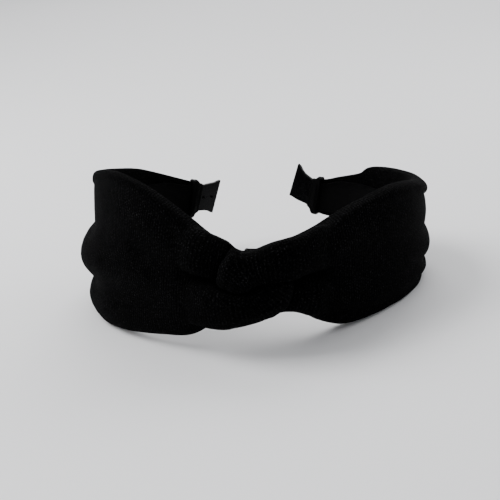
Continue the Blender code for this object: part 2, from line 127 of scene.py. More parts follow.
# the knot's top and lower edge where it rests on the strap, mm up, by mm to the right of its middle; it
# leans forwards, so that both edges rise with the distance out
KNOT_TOP = (
    (-24, 22.0), (-15, 18.2), (-10, 15.7), (-7, 12.6), (-4, 11.5), (0.4, 12.4), (6.2, 15.0), (12, 16.6),
    (18, 18.4), (24, 21.6),
)
KNOT_LOW = (
    (-24, -23.4), (-17, -21.4), (-8.4, -19.2), (0.4, -17.0), (6.2, -14.8), (12, -12.6), (15, -12.8),
    (18.3, -13.8), (24, -17.8),
)
KNOT_LEAN, KNOT_LEAN_FROM = 0.325, 8.0
KNOT_FRONT_CURVE, KNOT_BACK_CURVE = 0.030, 0.008  # how its front and back bend away from its middle
KNOT_FLAT_WIDTH = 5.0  # half the width over which they stay flat
BACK_OPENS, BACK_OPENING = (11.0, 16.0), 3.6  # the back opens this far towards the wings
STRAP_CLEAR = (9.5, 10.5)  # above and below these heights the knot may fold back round the strap
STRAP_FOLD, STRAP_FOLD_ENDS = 3.4, (7.5, 9.5)  # how far it folds back, and where that ends sideways
STRAND_SWELL = 10.0  # the widest a strand may swell from its middle line
STRAND_STATIONS, STRAND_POINTS = 190, 96
STRAND_TUCKS = (0.3, 1.15, 2.0, 2.75, 3.6, 4.4, 5.2, 5.9)  # where round a strand its small tucks run
TUCK_DEPTH, TUCK_WIDTH, TUCK_DRIFT = 0.8, 0.13, 0.30
TUCKS_FROM = (3.4, 6.0)  # a strand is tucked only where it has swollen past these reaches
BLEND = 9.0  # how tightly a strand's reach follows the nearest of its limits

PAD_START_ANGLE, PAD_END_ANGLE = 19.0, 127.0
PAD_FACE = WALL / 2 + GAP + 0.2  # the pad's inner face
PAD_THICKNESS, PAD_MARGIN, PAD_BEVEL = 1.8, 6.5, 1.4
PAD_SLACK_UP, PAD_SLACK_OUT, PAD_SLACK_ANGLE = 0.7, 0.12, 0.6  # room the pad leaves in its hollow

RIBBON_HALF_HEIGHT, RIBBON_END_HALF_HEIGHT = 8.0, 6.6
RIBBON_END_ANGLE, RIBBON_THICKNESS = 152.0, 0.6

WRAP_START_ANGLE, WRAP_END_ANGLE = 151.0, 155.8
# how far the wrap's inner skin stands off the hoop over the sleeve's end: up and down, out and in
COVER_UP, COVER_OUT, COVER_IN = 1.85, 1.15, 0.9
WRAP_THICKNESS, WRAP_SECOND_TURN, WRAP_CREASE = 0.42, 0.12, 0.08
WRAP_EDGE = 0.5  # degrees over which the tape's edge thins out
STRAP_HALF_ANGLE, STRAP_OUT, STRAP_THICKNESS = 3.6, 2.6, 0.6
STRAP_ROLL, STRAP_SQUARENESS = 0.08, 0.16

# ---- the camera, seen from the level hoop -----------------------------------------------------------------
CAMERA_ELEVATION, CAMERA_DISTANCE = 18.0, 0.45
CAMERA_LENS, SENSOR = 75.2, 36.0
CAMERA_SHIFT = (-0.010, -0.054)

# ---- the studio: each light's name, place in metres, width in metres and power in watts
LIGHTS = (
    ("key", (-0.70, 0.10, 0.95), 0.70, 12.0),
    ("left_rim", (-0.60, 0.10, 0.20), 0.40, 1.5),
    ("right_rim", (0.62, 0.30, 0.30), 0.40, 1.6),
    ("far_fill", (0.30, 1.60, 1.60), 1.60, 30.0),
)
SKY_TONE, SKY_STRENGTH = (0.92, 0.93, 0.95, 1.0), 0.75
FLOOR_TONE, FLOOR_HALF_WIDTH = (0.80, 0.80, 0.81, 1.0), 3.0


# ---- placing things ---------------------------------------------------------------------------------------


def smooth(value, start, end):
    """0 before start, 1 after end, and an even curve between them."""
    t = np.clip((np.asarray(value, float) - start) / (end - start), 0.0, 1.0)
    return t * t * (3.0 - 2.0 * t)


def along(stations, angle, column=1):
    """Values at angles on a smooth curve through a table's stations that never overshoots them."""
    x = np.array([s[0] for s in stations], float)
    y = np.array([s[column] for s in stations], float)
    step = np.diff(y) / np.diff(x)
    slope = np.zeros(len(x))
    slope[1:-1] = np.where(step[1:] * step[:-1] > 0.0, (y[2:] - y[:-2]) / (x[2:] - x[:-2]), 0.0)
    angle = np.clip(np.asarray(angle, float), x[0], x[-1])
    k = np.clip(np.searchsorted(x, angle, side="right") - 1, 0, len(x) - 2)
    span = x[k + 1] - x[k]
    t = (angle - x[k]) / span
    held = y[k] * (1 + 2 * t) * (1 - t) ** 2 + y[k + 1] * t * t * (3 - 2 * t)
    return held + span * (slope[k] * t * (1 - t) ** 2 - slope[k + 1] * t * t * (1 - t))


def place(angle, out, up):
    """Points on the level hoop, in millimetres."""
    angle, out, up = np.broadcast_arrays(*(np.asarray(v, float) for v in (angle, out, up)))
    a, size = np.radians(angle), np.abs(angle)
    depth = np.where(size < 90.0, FRONT_DEPTH, BACK_DEPTH)
    normal = np.stack([np.sin(a) / HALF_WIDTH, -np.cos(a) / depth], axis=-1)
    normal /= np.linalg.norm(normal, axis=-1, keepdims=True)
    rise = np.where(angle > 0, along(RIGHT_RISE, size), along(LEFT_RISE, size))
    lean = math.radians(TIP_LEAN) * smooth(size, LEAN_START, TIP_ANGLE)
    curl = TIP_CURL * smooth(size, CURL_START, 2 * TIP_ANGLE - CURL_START) * 2.0
    x = HALF_WIDTH * np.sin(a) + normal[..., 0] * (out + curl) + normal[..., 1] * np.sin(lean) * up
    y = -depth * np.cos(a) + normal[..., 1] * (out + curl) - normal[..., 0] * np.sin(lean) * up
    return np.stack([x, y, np.cos(lean) * up + rise], axis=-1)


ROLL = Matrix.Rotation(math.radians(STANCE_ROLL), 4, "Y")
PITCH = Matrix.Rotation(math.radians(STANCE_PITCH), 4, "X")
STANCE = Matrix.Translation(HOOP_CENTRE) @ (ROLL @ PITCH)


def to_row(points):
    """Level-hoop millimetres to the row's metres."""
    turn = np.array(STANCE.to_3x3())
    return (np.asarray(points) * MM) @ turn.T + np.array(STANCE.translation)


def noise_at(points, scale, seed):
    """Smooth noise from -1 to 1 at points given in millimetres, with features about scale mm across."""
    shift = Vector((seed * 7.3, seed * 3.1, seed * 5.7))
    flat = np.asarray(points).reshape(-1, 3) / scale
    values = [noise.noise(Vector(p) + shift) for p in flat]
    return np.array(values).reshape(np.asarray(points).shape[:-1])


# ---- making objects ---------------------------------------------------------------------------------------


def grid_object(name, points, around, along_band, caps=True):
    """A skin over closed rings of points, with a UV map called weave.

    The map holds each point's distance along the band and round its ring, in centimetres.
    """
    rings, count = points.shape[:2]
    mesh = bpy.data.meshes.new(name)
    bm = bmesh.new()
    rows = [[bm.verts.new(p) for p in ring] for ring in to_row(points)]
    weave = bm.loops.layers.uv.new("weave")
    for i in range(rings - 1):
        for j in range(count):
            k = (j + 1) % count
            face = bm.faces.new((rows[i][j], rows[i][k], rows[i + 1][k], rows[i + 1][j]))
            corners = ((i, j), (i, j + 1), (i + 1, j + 1), (i + 1, j))
            for loop, (row, column) in zip(face.loops, corners):
                lengthways, across = along_band[row, column % count], around[row, column]
                loop[weave].uv = (lengthways / MM_PER_UV, across / MM_PER_UV)
    if caps:
        bm.faces.new(rows[0])
        bm.faces.new(list(reversed(rows[-1])))
    bmesh.ops.recalc_face_normals(bm, faces=bm.faces)
    bm.to_mesh(mesh)
    bm.free()
    made = bpy.data.objects.new(name, mesh)
    bpy.context.scene.collection.objects.link(made)
    return made


def girth(points):
    """Distance round each ring from its first point, with one more column for the closing point."""
    closed = np.concatenate([points, points[:, :1]], axis=1)
    steps = np.linalg.norm(np.diff(closed, axis=1), axis=-1)
    return np.concatenate([np.zeros((len(points), 1)), np.cumsum(steps, axis=1)], axis=1)


def length_along(points):
    """Distance along the band of each ring, the same for every point of a ring."""
    centres = points.mean(axis=1)
    steps = np.linalg.norm(np.diff(centres, axis=0), axis=-1)
    total = np.concatenate([[0.0], np.cumsum(steps)])
    return np.repeat(total[:, None], points.shape[1], axis=1)


def ring_object(name, points):
    return grid_object(name, points, girth(points), length_along(points))


def combine(made, tool, operation):
    """Joins or cuts with another closed mesh, which is then removed."""
    boolean = made.modifiers.new(operation.lower(), "BOOLEAN")
    boolean.operation = operation
    boolean.solver = "EXACT"
    boolean.object = tool
    bpy.context.view_layer.update()
    solid = bpy.data.meshes.new_from_object(made.evaluated_get(bpy.context.evaluated_depsgraph_get()))
    made.modifiers.clear()
    made.data = solid
    bpy.data.objects.remove(tool)


def soften_creases(made, sharp_degrees, spread, passes):
    """Rounds the inward creases that joining two shapes leaves, outside the knot itself."""
    bm = bmesh.new()
    bm.from_mesh(made.data)
    bm.verts.index_update()
    places = np.array([v.co for v in bm.verts])
    ends = np.array([(e.verts[0].index, e.verts[1].index) for e in bm.edges])
    weight = np.zeros(len(places))
    for edge in bm.edges:
        if edge.is_manifold and edge.calc_face_angle_signed() < -math.radians(sharp_degrees):
            weight[edge.verts[0].index] = weight[edge.verts[1].index] = 1.0
    both = np.concatenate([ends, ends[:, ::-1]])
    for _ in range(spread):
        reached = weight.copy()
        np.maximum.at(reached, both[:, 0], 0.9 * weight[both[:, 1]])
        weight = reached
    level = (places / MM - np.array(STANCE.translation) / MM) @ np.array(STANCE.to_3x3())
    weight *= smooth(np.abs(level[:, 0]), 12.5, 16.0) * smooth(-level[:, 1] - FRONT_DEPTH * 0.2, 0.0, 20.0)
    count = np.bincount(both[:, 0], minlength=len(places))[:, None]
    for _ in range(passes):
        around = np.zeros_like(places)
        np.add.at(around, both[:, 0], places[both[:, 1]])
        places += (0.5 * weight)[:, None] * (around / np.maximum(count, 1) - places)
    bm.free()
    made.data.vertices.foreach_set("co", places.ravel())
    made.data.update()


def finish_piece(made, finish, sharp_degrees=None):
    """Gives a piece its one material and its shading, and lets it ride with the headband."""
    made.data.materials.clear()
    made.data.materials.append(finish)
    made.data.polygons.foreach_set("material_index", [0] * len(made.data.polygons))
    made.data.shade_smooth()
    if sharp_degrees is not None:
        made.data.set_sharp_from_angle(angle=math.radians(sharp_degrees))
    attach(made, "root")
    return made


# ---- the sleeves' wings -----------------------------------------------------------------------------------


def folds_swell(folds, edges, angle, up):
    """How far the folds swell at points on a wing, in millimetres."""
    top, low = along(edges, angle, 1), along(edges, angle, 2)
    near_side = smooth(angle, *FOLD_TO_SIDE)
    fade = 1.0 - smooth(angle, *FOLD_FADE)
    swell = np.zeros_like(up)
    below = low
    for crease, at_side, at_knot, sharpness in folds:
        above = top if crease is None else np.clip(along(crease, angle), low + 1.0, top - 1.0)
        t = np.clip((up - below) / np.maximum(above - below, 0.5), 0.0, 1.0)
        bump = (4.0 * t * (1.0 - t)) ** sharpness
        inside = (up >= below) & (up < above)
        swell += np.where(inside, bump * (at_side * near_side + at_knot * (1.0 - near_side)) * fade, 0.0)
        below = above
    return swell


def knot_swell(side, angle, up):
    """The wing's swelling where the knot's strands run into it."""
    total = np.zeros_like(up)
    strands = ((FRONT_STRAND_AWAY[-1], SWELL_FRONT, side), (BACK_STRAND_AWAY[-1], SWELL_BACK, -side))
    for station, reach, height in strands:
        middle = KNOT_HEIGHT + height * station[2]
        width = SWELL_HEIGHT + SWELL_WIDENING * np.maximum(angle - SWELL_WIDENS_FROM, 0.0)
        lengthways = np.exp(-(((angle - SWELL_ANGLE) / SWELL_SPREAD) ** 2))
        total += reach * lengthways * np.exp(-(((up - middle) / width) ** 2))
    return total * smooth(angle, 10.5, 14.0)


def wing_points(side, edges, outer, folds):
    spread = np.linspace(0.0, 1.0, WING_RINGS)
    angle = 0.35 + (SLEEVE_END_ANGLE - 0.35) * (0.55 * spread + 0.45 * spread**2)  # closer rings by the knot
    turn = np.linspace(0.0, 2.0 * math.pi, RING_POINTS, endpoint=False)
    angle, turn = np.meshgrid(angle, turn, indexing="ij")
    c, s = np.cos(turn), np.sin(turn)
    top, low, out = along(edges, angle, 1), along(edges, angle, 2), along(outer, angle)
    up = (top + low) / 2 + (top - low) / 2 * np.sign(s) * np.abs(s) ** 0.8
    reach = (out + FLAP) / 2 + (out - FLAP) / 2 * np.sign(c) * np.abs(c) ** 0.5
    face = smooth(c, -0.05, 0.22)  # 1 on the outer face, 0 on the inner one
    body = smooth(angle, *WING_OPENS)
    tucks = -np.abs(np.sin(math.pi * GATHER_TUCKS * (up - low) / (top - low) + 0.035 * angle)) ** 0.7
    gather = GATHER_DEPTH * np.exp(-np.maximum(angle - 13.0, 0.0) / GATHER_REACH) * (1.0 + tucks)
    reach += face * body * (folds_swell(folds, edges, angle, up) + knot_swell(side, angle, up) - gather)
    points = place(side * angle, reach, up)
    drape = 0.36 * noise_at(points, 15.0, 1 + side) + 0.12 * noise_at(points, 5.0, 4 + side)
    calm = body * (1.0 - 0.6 * smooth(angle, *DRAPE_CALMS))
    reach += face * calm * drape
    up += body * (0.25 * noise_at(points, 22.0, 7 + side)) * (1.0 - smooth(angle, *DRAPE_CALMS))
    return place(side * angle, reach, up)


# ---- the knot's strands -----------------------------------------------------------------------------------


def strand_line(side):
    """The middle line of a sleeve's loop, evenly spaced, and the normal of the plane that it turns in."""
    back = -FRONT_DEPTH - STRAND_REST_OUT - GAP - STRAND_RADIUS
    middle = np.array([0.0, back - STRAND_STEP_OUT / 2, KNOT_HEIGHT])
    to_front = np.array([0.0, -STRAND_STEP_OUT / 2, side * STRAND_STEP_UP / 2])
    bend = np.linalg.norm(to_front)
    across = np.array([side, 0.0, 0.0])
    centre = middle + across * (bend - LOOP_REACH)
    a = np.linspace(0.0, math.pi, 40)[:, None]
    turn = centre + to_front * np.cos(a) - across * bend * np.sin(a)
    turn[:, 2:] -= (1.0 - BACK_UP_SHARE) * to_front[2] * np.minimum(np.cos(a), 0.0)
    front = [place(side * t, out, KNOT_HEIGHT + side * up) for t, out, up in FRONT_STRAND_AWAY[::-1]]
    rear = [place(side * t, out, KNOT_HEIGHT - side * up) for t, out, up in BACK_STRAND_AWAY]
    line = np.concatenate([front, turn, rear])
    for _ in range(3):
        line = evenly(line, 4 * STRAND_STATIONS)
        inner = sum(np.roll(line, k, axis=0) for k in range(-12, 13)) / 25.0
        line[12:-12] = inner[12:-12]
    return evenly(line, STRAND_STATIONS), np.cross(across, to_front) / bend


def evenly(line, count):
    length = np.concatenate([[0.0], np.cumsum(np.linalg.norm(np.diff(line, axis=0), axis=1))])
    at = np.linspace(0.0, length[-1], count)
    return np.stack([np.interp(at, length, line[:, k]) for k in range(3)], axis=1)


def distance_to(line, points):
    """Distance from each point to the nearest place on a line."""
    start, step = line[:-1], np.diff(line, axis=0)
    nearest = np.full(points.shape[:-1], np.inf)
    for a, d in zip(start, step):
        t = np.clip(((points - a) @ d) / (d @ d), 0.0, 1.0)
        nearest = np.minimum(nearest, np.linalg.norm(points - a - t[..., None] * d, axis=-1))
    return nearest


def room_in_knot(points):
    """Positive inside the knot's outline, 0 on it, negative outside. It opens out towards the wings."""
    x, out = points[..., 0], -points[..., 1] - FRONT_DEPTH
    up = points[..., 2] - KNOT_LEAN * (out - KNOT_LEAN_FROM)
    away = np.maximum(np.abs(x) - KNOT_FLAT_WIDTH, 0.0)
    front = KNOT_OUT - KNOT_FRONT_CURVE * away**2
    back = STRAND_REST_OUT + GAP - BACK_OPENING * smooth(np.abs(x), *BACK_OPENS) - KNOT_BACK_CURVE * away**2
    beyond_strap = np.abs(points[..., 2]) - 0.9 * np.maximum(np.abs(x) - 4.0, 0.0)
    round_strap = smooth(beyond_strap, *STRAP_CLEAR) * (1.0 - smooth(np.abs(x), *STRAP_FOLD_ENDS))
    back = back - STRAP_FOLD * round_strap  # it may fold back a little over and under the strap
    top, low = along(KNOT_TOP, x), along(KNOT_LOW, x)
    deep = (out - (front + back) / 2) / ((front - back) / 2)
    tall = (up - (top + low) / 2) / ((top - low) / 2)
    squareness = np.where(deep < 0.0, 5.0, 2.4)  # squarer at the back, where it is pressed flat
    return 1.0 - np.abs(deep) ** squareness - np.abs(tall) ** 3.0


def reach_before(line, directions, blocked):
    """The furthest each ray goes from the line before blocked(points, distance) turns negative."""
    near, far = np.full(directions.shape[:-1], 0.5), np.full(directions.shape[:-1], STRAND_SWELL)
    for _ in range(12):
        half = (near + far) / 2
        clear = blocked(line[:, None] + directions * half[..., None], half) >= 0.0
        near, far = np.where(clear, half, near), np.where(clear, far, half)
    return near


def strand_points(side):
    line, plane = strand_line(side)
    other, _ = strand_line(-side)
    tangent = np.gradient(line, axis=0)
    tangent /= np.linalg.norm(tangent, axis=1, keepdims=True)
    sideways = plane - tangent * (tangent @ plane)[:, None]
    sideways /= np.linalg.norm(sideways, axis=1, keepdims=True)
    radial = np.cross(tangent, sideways)
    theta = np.linspace(0.0, 2.0 * math.pi, STRAND_POINTS, endpoint=False)
    rays = radial[:, None] * np.cos(theta)[None, :, None]
    rays = rays + sideways[:, None] * np.sin(theta)[None, :, None]
    meets_other = reach_before(line, rays, lambda p, r: distance_to(other, p) - r - GAP)
    leaves_knot = reach_before(line, rays, lambda p, r: room_in_knot(p))
    limits = np.stack([meets_other, leaves_knot, np.full_like(meets_other, STRAND_SWELL)])
    reach = np.sum(limits**-BLEND, axis=0) ** (-1.0 / BLEND)  # the nearest limit, rounded where two meet
    station = np.arange(len(line))[:, None] / len(line)
    free = smooth(reach, *TUCKS_FROM)
    for k, where in enumerate(STRAND_TUCKS):
        drift = TUCK_DRIFT * np.sin(7.0 * station + 1.7 * k)
        apart = np.angle(np.exp(1j * (theta[None] - where - drift)))
        depth = TUCK_DEPTH * (0.55 + 0.45 * np.sin(11.0 * station + 2.3 * k))
        reach = reach - free * depth * np.exp(-np.abs(apart / TUCK_WIDTH) ** 1.3)
    points = line[:, None] + rays * reach[..., None]
    reach = reach + free * (0.30 * noise_at(points, 9.0, 11 + side) + 0.12 * noise_at(points, 3.5, 14 + side))
    return line[:, None] + rays * reach[..., None]


# ---- what is cut out of the sleeves -----------------------------------------------------------------------


def box_rings(side, angles, near, far, low, high, bevel=0.0):
    rings = []
    for k, angle in enumerate(angles):
        corners = ((near[k], low[k]), (near[k], high[k]), (far[k], high[k] - bevel), (far[k], low[k] + bevel))
        rings.append([place(side * angle, out, up) for out, up in corners])
    return np.array(rings)


def slot_tool(side):
    angles = np.linspace(-2.0, SLEEVE_END_ANGLE + 2.0, 60)
    half = along(HOOP_HALF_HEIGHT, np.abs(angles)) + GAP
    near, far = np.full_like(angles, -6.0), np.full_like(angles, WALL / 2 + GAP)
    return ring_object("slot", box_rings(side, angles, near, far, -half, half))


def pad_edges(edges, angle):
    """Lower and top edge of the pad inside a sleeve, which is rounded at both ends."""
    start = np.minimum(1.0, (angle - PAD_START_ANGLE + 1.0) / 9.0)
    rounding = np.sqrt(start * np.minimum(1.0, (PAD_END_ANGLE - angle + 1.0) / 12.0))
    top, low = along(edges, angle, 1) - PAD_MARGIN, along(edges, angle, 2) + PAD_MARGIN
    middle = (top + low) / 2
    return middle + (low - middle) * rounding, middle + (top - middle) * rounding


def hollow_tool(side, edges):
    angles = np.linspace(PAD_START_ANGLE, PAD_END_ANGLE, 55)
    low, high = pad_edges(edges, angles)
    near = np.full_like(angles, PAD_FACE - GAP)
    shown = angles.copy()
    shown[0] -= 0.3
    shown[-1] += 0.3
    far = near + PAD_THICKNESS + 2 * GAP
    return ring_object("hollow", box_rings(side, shown, near, far, low - GAP, high + GAP, PAD_BEVEL))


def make_sleeve(name, side, edges, outer, folds, finish):
    sleeve = ring_object(name, wing_points(side, edges, outer, folds))
    combine(sleeve, ring_object("strand", strand_points(side)), "UNION")
    soften_creases(sleeve, 28.0, 7, 30)
    combine(sleeve, slot_tool(side), "DIFFERENCE")
    combine(sleeve, hollow_tool(side, edges), "DIFFERENCE")
    for vertex in sleeve.data.vertices:
        vertex.co.z = max(vertex.co.z, 0.0)  # flat where it rests
    finish_piece(sleeve, finish, 60.0)
    return sleeve


# ---- the parts inside and behind --------------------------------------------------------------------------


def make_pad(name, side, edges, finish):
    """A sponge pad: a crowned slab with soft edges that follows the hoop."""
    angle = np.linspace(PAD_START_ANGLE + PAD_SLACK_ANGLE, PAD_END_ANGLE - PAD_SLACK_ANGLE, 90)[:, None]
    turn = np.linspace(0.0, 2.0 * math.pi, 48, endpoint=False)[None]
    low, high = pad_edges(edges, angle)
    c, s = np.cos(turn), np.sin(turn)
    up = (high + low) / 2 + ((high - low) / 2 - PAD_SLACK_UP) * np.sign(s) * np.abs(s) ** 0.9
    edge = smooth(angle, PAD_START_ANGLE - 1.0, 26.0) * (1.0 - smooth(angle, 119.0, PAD_END_ANGLE + 1.0))
    half = (PAD_THICKNESS / 2 - PAD_SLACK_OUT) * (0.35 + 0.65 * edge)
    reach = PAD_FACE + half + half * np.sign(c) * np.abs(c) ** 0.85
    pad = ring_object(name, place(side * angle, reach, up))
    finish_piece(pad, finish, 60.0)
    return pad


def make_ribbon(finish):
    """The satin ribbon glued inside the hoop: a thin strip with a thicker woven edge on each side."""
    angle = np.linspace(-RIBBON_END_ANGLE, RIBBON_END_ANGLE, 230)
    narrowing = smooth(np.abs(angle), 138.0, RIBBON_END_ANGLE)
    half = RIBBON_HALF_HEIGHT + (RIBBON_END_HALF_HEIGHT - RIBBON_HALF_HEIGHT) * narrowing
    across = np.array([-1.0, -0.97, -0.92, -0.88, -0.6, -0.3, 0.0, 0.3, 0.6, 0.88, 0.92, 0.97, 1.0])
    rings = []
    for a, h in zip(angle, half):
        wave = 0.05 * math.sin(0.9 * a) + 0.04 * math.sin(0.37 * a + 1.0)
        edge = np.where(np.abs(across) > 0.90, 1.0, 0.0)
        inner = -(WALL / 2 + GAP + RIBBON_THICKNESS) + 0.16 * (1.0 - edge) + wave * (1.0 - across**2)
        outer = np.full_like(across, -(WALL / 2 + GAP))
        reach = np.concatenate([outer, inner[::-1]])
        up = np.concatenate([across * h, across[::-1] * h])
        rings.append(place(a, reach, up))
    ribbon = ring_object("satin_lining", np.array(rings))
    finish_piece(ribbon, finish, 50.0)
    return ribbon


def hollow_band(name, inside, outside):
    """A band closed on itself between an inner and an outer skin, each a row of rings."""
    loop = np.concatenate([outside, inside[::-1], outside[:1]])
    made = grid_object(name, loop, girth(loop), length_along(loop), caps=False)
    bm = bmesh.new()
    bm.from_mesh(made.data)
    bmesh.ops.remove_doubles(bm, verts=bm.verts, dist=1e-7)
    bmesh.ops.recalc_face_normals(bm, faces=bm.faces)
    bm.to_mesh(made.data)
    bm.free()
    return made


def make_wrap(name, side, finish):
    """Two turns of satin tape round the gathered end of a sleeve, pulled down on to the hoop's neck."""
    angle = np.linspace(WRAP_START_ANGLE, WRAP_END_ANGLE, 44)
    turn = np.linspace(0.0, 2.0 * math.pi, 72, endpoint=False)
    c, s = np.cos(turn), np.sin(turn)
    skins = []
    for thickness in (0.0, WRAP_THICKNESS):
        rings = []
        for a in angle:
            covered = 1.0 - float(smooth(a, SLEEVE_END_ANGLE + 0.2, SLEEVE_END_ANGLE + 2.2))
            half = float(along(HOOP_HALF_HEIGHT, a)) + GAP + COVER_UP * covered
            outer = WALL / 2 + GAP + COVER_OUT * covered
            inner = -(WALL / 2 + GAP) - COVER_IN * covered
            edge = float(smooth(a, WRAP_START_ANGLE, WRAP_START_ANGLE + WRAP_EDGE))
            edge *= 1.0 - float(smooth(a, WRAP_END_ANGLE - WRAP_EDGE, WRAP_END_ANGLE))
            past_sleeve = float(smooth(a, SLEEVE_END_ANGLE, SLEEVE_END_ANGLE + 0.3))
            second_turn = WRAP_SECOND_TURN * (1.0 - past_sleeve)
            crease = WRAP_CREASE * np.sin(5.0 * turn + 2.0 * a) * covered
            grow = (thickness > 0.0) * (thickness * (0.5 + 0.5 * edge) + (second_turn + crease) * edge)
            middle, deep = (outer + inner) / 2, (outer - inner) / 2
            reach = middle + (deep + grow) * np.sign(c) * np.abs(c) ** 0.35
            up = (half + grow) * np.sign(s) * np.abs(s) ** 0.5
            rings.append(place(side * a, reach, up))
        skins.append(np.array(rings))
    wrap = hollow_band(name, *skins)
    finish_piece(wrap, finish, 50.0)
    return wrap


def make_strap(finish):
    """The knit strap behind the knot: one flat turn with rolled edges, a little thinner between them."""
    angle = np.linspace(-STRAP_HALF_ANGLE, STRAP_HALF_ANGLE, 27)
    turn = np.linspace(0.0, 2.0 * math.pi, 112, endpoint=False)
    c, s = np.cos(turn), np.sin(turn)
    inner, outer = -(WALL / 2 + 2 * GAP + RIBBON_THICKNESS), STRAP_OUT
    half, middle, deep = RIBBON_HALF_HEIGHT + GAP, (inner + outer) / 2, (outer - inner) / 2
    skins = []
    for thickness in (0.0, STRAP_THICKNESS):
        rings = []
        for a in angle:
            across = abs(a) / STRAP_HALF_ANGLE
            edge = math.sqrt(max(0.0, 1.0 - max(0.0, (across - 0.8) / 0.2) ** 2))
            rolled = STRAP_ROLL * math.exp(-(((across - 0.78) / 0.12) ** 2))
            grow = (thickness > 0.0) * (thickness * (0.35 + 0.65 * edge) - STRAP_ROLL + rolled)
            reach = middle + (deep + grow) * np.sign(c) * np.abs(c) ** STRAP_SQUARENESS
            up = (half + grow) * np.sign(s) * np.abs(s) ** STRAP_SQUARENESS
            rings.append(place(a, reach, up))
        skins.append(np.array(rings))
    strap = hollow_band("knit_strap", *skins)
    finish_piece(strap, finish, 50.0)
    return strap


# ---- materials --------------------------------------------------------------------------------------------


class Nodes:
    """Short ways to lay out a material's nodes."""

    def __init__(self, name):
        self.material = bpy.data.materials.new(name)
        self.material.use_nodes = True
        self.tree = self.material.node_tree
        self.shader = self.tree.nodes["Principled BSDF"]

    def add(self, kind, **settings):
        node = self.tree.nodes.new(kind)
        for key, value in settings.items():
            setattr(node, key, value)
        return node

    def link(self, source, target):
        self.tree.links.new(source, target)

    def put(self, node, **values):
        for key, value in values.items():
            node.inputs[key.replace("_", " ")].default_value = value
        return node

    def maths(self, operation, a, b=None):
        node = self.add("ShaderNodeMath", operation=operation)
        for socket, value in zip(node.inputs, (a, b)):
            if value is None:
                continue
            if isinstance(value, (int, float)):
                socket.default_value = value
            else:
                self.link(value, socket)
        return node.outputs[0]

    def noise(self, vector, scale, detail=2.0):
        node = self.put(self.add("ShaderNodeTexNoise"), Scale=scale, Detail=detail)
        self.link(vector, node.inputs["Vector"])
        return node.outputs["Fac"]

    def ramp(self, value, stops):
        node = self.add("ShaderNodeValToRGB")
        elements = node.color_ramp.elements
        for k, (position, colour) in enumerate(stops):
            element = elements[k] if k < 2 else elements.new(position)
            element.position = position
            element.color = (*colour, 1.0)
        self.link(value, node.inputs["Fac"])
        return node.outputs["Color"]

    def bump(self, height, distance):
        node = self.put(self.add("ShaderNodeBump"), Strength=1.0, Distance=distance)
        self.link(height, node.inputs["Height"])
        return node.outputs["Normal"]


RIB_PITCH = 1.10  # mm between the knit's ribs
STITCH_PITCH = 1.25  # mm between stitches along a rib
THREAD_PITCH, PICK_PITCH = 0.42, 0.30  # mm between the satin's threads, and between its cross threads


def knit_material():
    """Fine ribbed knit: ribs across the band, staggered stitches along each, and a short fleck in the bump
    and roughness that is also painted into the colour as bright glints.
    """
    n = Nodes("black_rib_knit")
    weave = n.add("ShaderNodeUVMap", uv_map="weave").outputs["UV"]
    split = n.add("ShaderNodeSeparateXYZ")
    n.link(weave, split.inputs[0])
    place_in = n.add("ShaderNodeTexCoord").outputs["Object"]
    wander = n.noise(place_in, 150.0)
    ribs = n.maths("MULTIPLY", split.outputs["X"], MM_PER_UV / RIB_PITCH)
    band = n.maths("ADD", ribs, n.maths("MULTIPLY", wander, 0.8))
    rib = n.maths("ABSOLUTE", n.maths("SINE", n.maths("MULTIPLY", band, math.pi)))
    stagger = n.maths("MULTIPLY", n.maths("FLOOR", band), 0.5)
    row = n.maths("ADD", n.maths("MULTIPLY", split.outputs["Y"], MM_PER_UV / STITCH_PITCH), stagger)
    row = n.maths("ADD", row, n.maths("MULTIPLY", rib, 0.30))
    stitch = n.maths("ABSOLUTE", n.maths("SINE", n.maths("MULTIPLY", row, math.pi)))
    fleck_and_glint = n.noise(place_in, 2000.0, 3.0)
    loops = n.maths("MULTIPLY", rib, n.maths("ADD", 0.35, n.maths("MULTIPLY", stitch, 0.65)))
    height = n.maths("ADD", loops, n.maths("MULTIPLY", fleck_and_glint, 1.1))
    n.link(n.bump(height, 0.00024), n.shader.inputs["Normal"])
    soft = n.noise(place_in, 60.0)
    # the colour mixes painted glints from the fleck, painted highlights on the raised loops, and a soft
    # random tone
    shade = n.maths("ADD", n.maths("MULTIPLY", fleck_and_glint, 0.80), n.maths("MULTIPLY", loops, 0.12))
    shade = n.maths("ADD", shade, n.maths("MULTIPLY", soft, 0.08))
    # the brightest stop is the painted glint colour; the dark and middle stops are the knit's own black
    dark, middle, glint_colour = (0.0002, 0.0002, 0.00025), (0.0009, 0.0009, 0.0010), (0.012, 0.012, 0.0125)
    n.link(n.ramp(shade, ((0.44, dark), (0.56, middle), (0.70, glint_colour))), n.shader.inputs["Base Color"])
    rough = n.maths("SUBTRACT", 1.05, n.maths("MULTIPLY", fleck_and_glint, 0.45))
    n.link(rough, n.shader.inputs["Roughness"])
    n.put(n.shader, Specular_IOR_Level=0.010, Sheen_Weight=0.006, Sheen_Roughness=0.35)
    n.shader.inputs["Sheen Tint"].default_value = (0.75, 0.76, 0.80, 1.0)
    return n.material


